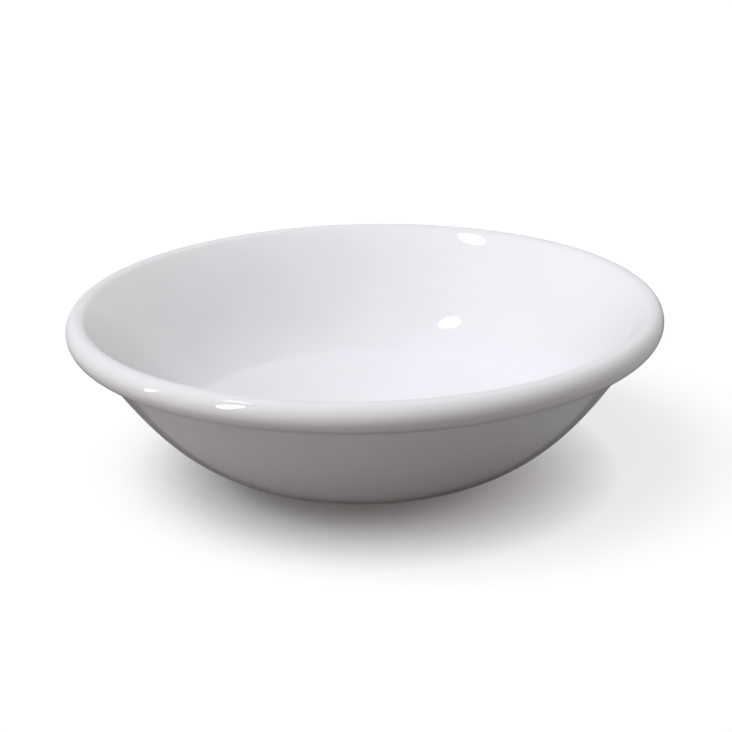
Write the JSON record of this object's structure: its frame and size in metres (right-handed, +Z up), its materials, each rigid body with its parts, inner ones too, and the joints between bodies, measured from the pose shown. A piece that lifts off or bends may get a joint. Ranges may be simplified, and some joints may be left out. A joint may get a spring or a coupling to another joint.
{
  "type": "fruit bowl",
  "caption": "Small round glazed china bowl with a thick rolled lip, a flared wall and a low dry foot ring, for a serving of fruit.",
  "frame": {"origin": "centre of the foot ring's bearing plane, on the bowl's axis", "axes": "+Z up along the bowl's axis of revolution; X and Y are any two directions across the rim"},
  "size_m": [0.12, 0.12, 0.036],
  "materials": {
    "china": "unglazed, fine-grained",
    "glaze": "gloss"
  },
  "bodies": {
    "root": {"china_body": "china", "glaze_coat": "glaze", "underside_glaze": "glaze"}
  },
  "joints": []
}
